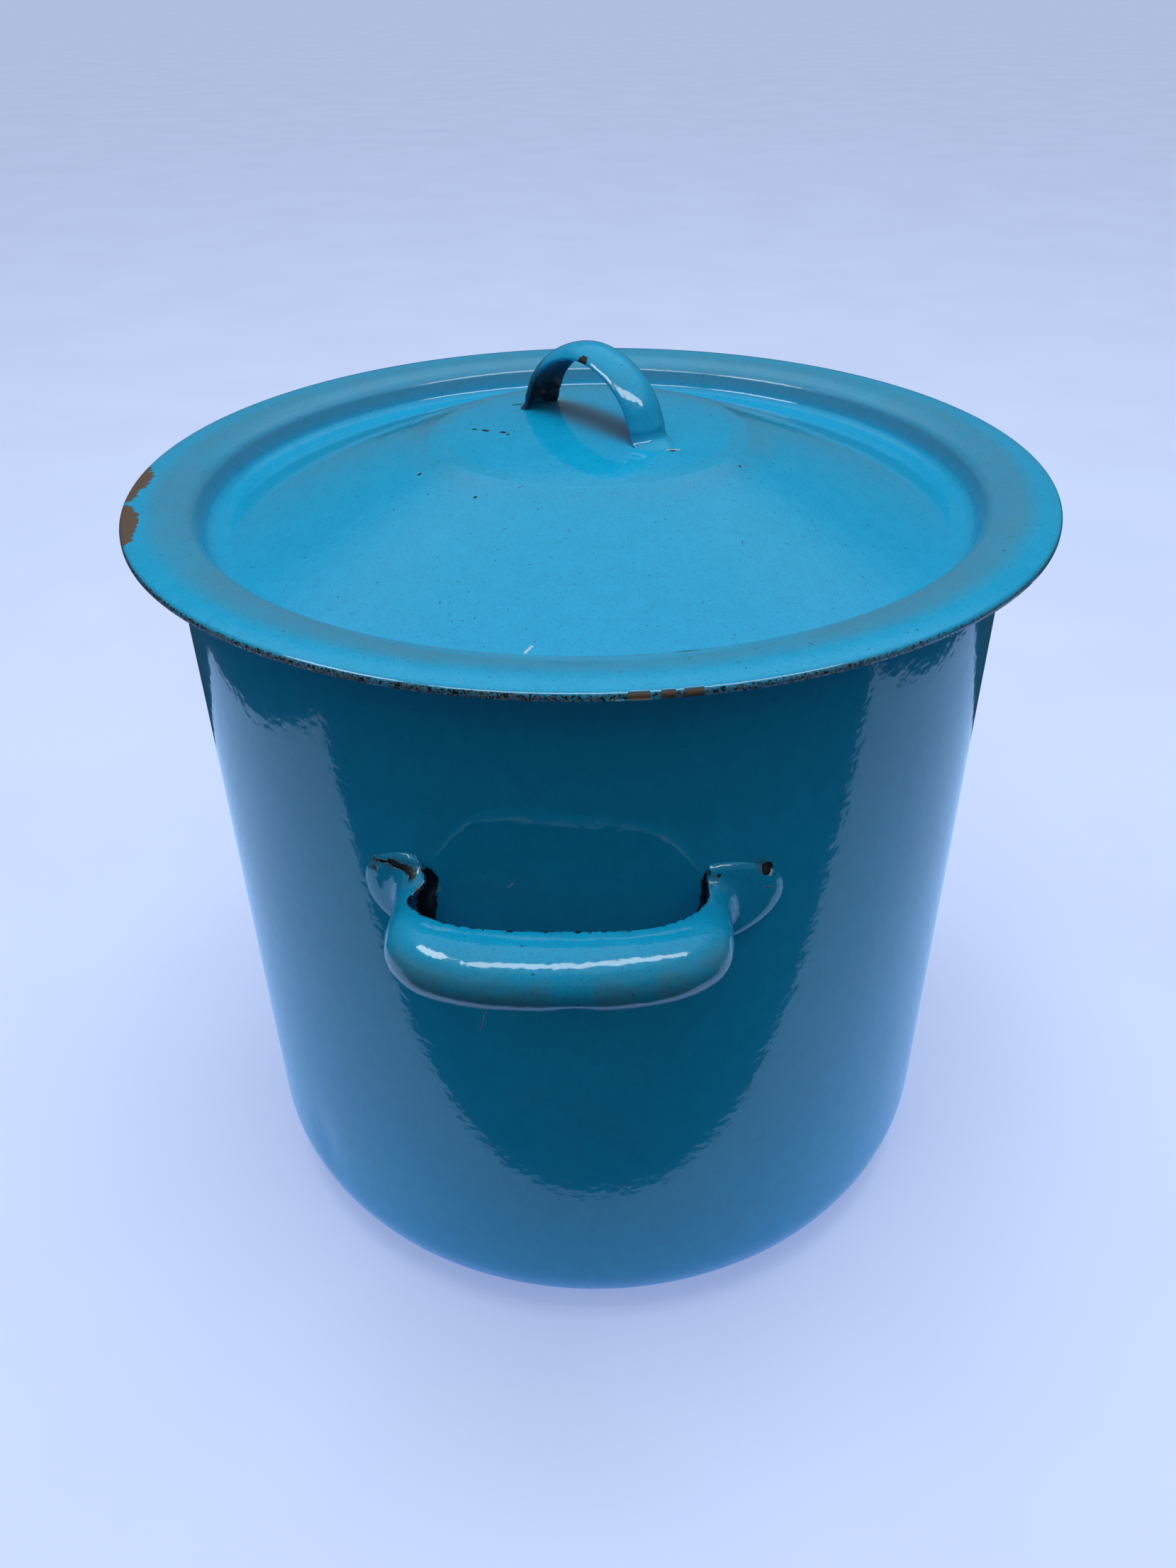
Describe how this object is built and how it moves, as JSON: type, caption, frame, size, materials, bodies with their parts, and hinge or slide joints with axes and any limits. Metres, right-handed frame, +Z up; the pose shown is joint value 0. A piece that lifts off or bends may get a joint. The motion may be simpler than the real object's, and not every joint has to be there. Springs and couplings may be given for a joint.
{
  "type": "stock pot",
  "caption": "Tall straight-sided enamelled steel stock pot with channel side handles and a lift-off domed lid with a strap handle.",
  "frame": {"origin": "centre of the base, on the surface the pot stands on", "axes": "+Z up along the pot's axis; the side handles face -Y and +Y; +X completes the frame"},
  "size_m": [0.3314, 0.3822, 0.3468],
  "materials": {
    "body_enamel": "gloss vitreous enamel, worn",
    "handle_enamel": "gloss vitreous enamel, worn",
    "lid_enamel": "gloss vitreous enamel, worn and chipped at the edge"
  },
  "bodies": {
    "pot": {"pot_body": "body_enamel", "side_handle_front": "handle_enamel", "side_handle_rear": "handle_enamel"},
    "lid": {"lid_shell": "lid_enamel", "lid_handle": "lid_enamel"}
  },
  "joints": [
    {"name": "lid_lift", "type": "slide", "parent": "pot", "child": "lid", "axis": [0, 0, 1], "range_m": [0, 0.15]}
  ]
}
